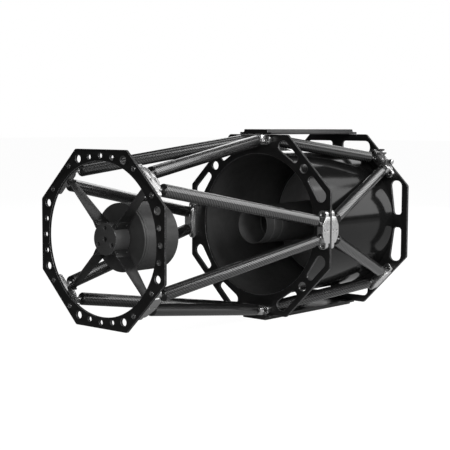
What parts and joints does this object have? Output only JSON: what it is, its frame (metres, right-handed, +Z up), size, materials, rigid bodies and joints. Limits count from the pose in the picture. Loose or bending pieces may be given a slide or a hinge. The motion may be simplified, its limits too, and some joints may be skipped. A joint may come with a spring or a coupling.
{
  "type": "open truss reflecting telescope tube",
  "caption": "Open-truss Ritchey-Chretien telescope tube: carbon truss between octagonal rings, mirrors, baffles, sliding rear focuser, cooling fans and dovetail plates.",
  "frame": {"origin": "below the middle of the overall length, on the lower dovetail plate's outer face, in the plane of symmetry through the optical axis", "axes": "+Y along the optical axis from the aperture to the focuser, +Z up through the upper dovetail plate, +X to the tube's right seen from the aperture end's front"},
  "size_m": [0.4506, 1.01, 0.4764],
  "materials": {
    "black_anodised": "satin black anodised aluminium",
    "grey_anodised": "satin charcoal anodised aluminium",
    "machined_aluminium": "bead-blasted clear anodised aluminium",
    "carbon_fibre": "clear-coated twill carbon tube with black end caps",
    "matt_black": "matt black paint",
    "mirror_glass": "aluminised optical surface",
    "fan_plastic": "moulded black plastic",
    "black_knob": "gloss black knob"
  },
  "bodies": {
    "tube": {"front_ring": "black_anodised", "mid_ring": "black_anodised", "rear_ring": "black_anodised", "top_dovetail": "black_anodised", "bottom_dovetail": "black_anodised", "primary_cell": "black_anodised", "rear_port_flange": "black_anodised", "focuser_body": "black_anodised", "spider_hub": "grey_anodised", "spider_vane_upper_right": "grey_anodised", "spider_vane_upper_left": "grey_anodised", "spider_vane_lower_left": "grey_anodised", "spider_vane_lower_right": "grey_anodised", "secondary_cell": "grey_anodised", "secondary_baffle": "grey_anodised", "finder_shoe": "grey_anodised", "front_bracket_upper_right": "machined_aluminium", "front_bracket_upper_left": "machined_aluminium", "front_bracket_lower_left": "machined_aluminium", "front_bracket_lower_right": "machined_aluminium", "mid_bracket_right": "machined_aluminium", "mid_bracket_top": "machined_aluminium", "mid_bracket_left": "machined_aluminium", "mid_bracket_bottom": "machined_aluminium", "rear_bracket_upper_right": "machined_aluminium", "rear_bracket_upper_left": "machined_aluminium", "rear_bracket_lower_left": "machined_aluminium", "rear_bracket_lower_right": "machined_aluminium", "front_strut_1": "carbon_fibre", "front_strut_2": "carbon_fibre", "front_strut_3": "carbon_fibre", "front_strut_4": "carbon_fibre", "front_strut_5": "carbon_fibre", "front_strut_6": "carbon_fibre", "front_strut_7": "carbon_fibre", "front_strut_8": "carbon_fibre", "rear_strut_1": "carbon_fibre", "rear_strut_2": "carbon_fibre", "rear_strut_3": "carbon_fibre", "rear_strut_4": "carbon_fibre", "rear_strut_5": "carbon_fibre", "rear_strut_6": "carbon_fibre", "rear_strut_7": "carbon_fibre", "rear_strut_8": "carbon_fibre", "light_shroud": "matt_black", "primary_baffle": "matt_black", "primary_mirror": "mirror_glass", "secondary_mirror": "mirror_glass", "fan_frame_1": "fan_plastic", "fan_frame_2": "fan_plastic", "fan_frame_3": "fan_plastic"},
    "drawtube": {"focuser_drawtube": "black_anodised"},
    "coarse_knobs": {"coarse_focus_knobs": "machined_aluminium"},
    "fine_knob": {"fine_focus_knob": "black_knob"},
    "lock_screw": {"focus_lock_screw": "black_anodised"},
    "rotor_1": {"fan_rotor_1": "fan_plastic"},
    "rotor_2": {"fan_rotor_2": "fan_plastic"},
    "rotor_3": {"fan_rotor_3": "fan_plastic"},
    "shoe_screw_1": {"finder_thumbscrew_1": "grey_anodised"},
    "shoe_screw_2": {"finder_thumbscrew_2": "grey_anodised"}
  },
  "joints": [
    {"name": "focuser_slide", "type": "slide", "parent": "tube", "child": "drawtube", "axis": [0, 1, 0], "range_m": [0, 0.05]},
    {"name": "coarse_focus", "type": "hinge", "parent": "tube", "child": "coarse_knobs", "pos_m": [0, 0.44, 0.1903], "axis": [-1, 0, 0], "range_deg": [0, 954.93]},
    {"name": "fine_focus", "type": "hinge", "parent": "tube", "child": "fine_knob", "pos_m": [0, 0.44, 0.1903], "axis": [-1, 0, 0], "range_deg": [0, 9549.3]},
    {"name": "focus_lock", "type": "hinge", "parent": "tube", "child": "lock_screw", "pos_m": [0, 0.426, 0.1632], "axis": [0, 0, -1], "range_deg": [-540, 0]},
    {"name": "fan_1_spin", "type": "hinge", "parent": "tube", "child": "rotor_1", "pos_m": [0, 0.3806, 0.3562], "axis": [0, 1, 0], "continuous": true},
    {"name": "fan_2_spin", "type": "hinge", "parent": "tube", "child": "rotor_2", "pos_m": [-0.10219, 0.3806, 0.1792], "axis": [0, 1, 0], "continuous": true},
    {"name": "fan_3_spin", "type": "hinge", "parent": "tube", "child": "rotor_3", "pos_m": [0.10219, 0.3806, 0.1792], "axis": [0, 1, 0], "continuous": true},
    {"name": "shoe_screw_1_turn", "type": "hinge", "parent": "tube", "child": "shoe_screw_1", "pos_m": [0.15471, 0.348, 0.41724], "axis": [0, 0, 1], "range_deg": [0, 1080]},
    {"name": "shoe_screw_2_turn", "type": "hinge", "parent": "tube", "child": "shoe_screw_2", "pos_m": [0.17904, 0.348, 0.39291], "axis": [1, 0, 0], "range_deg": [0, 1080]}
  ],
  "couplings": [
    {"joint": "coarse_focus", "follows": "focuser_slide", "rad_per_m": 333.33},
    {"joint": "fine_focus", "follows": "focuser_slide", "rad_per_m": 3333.3}
  ]
}
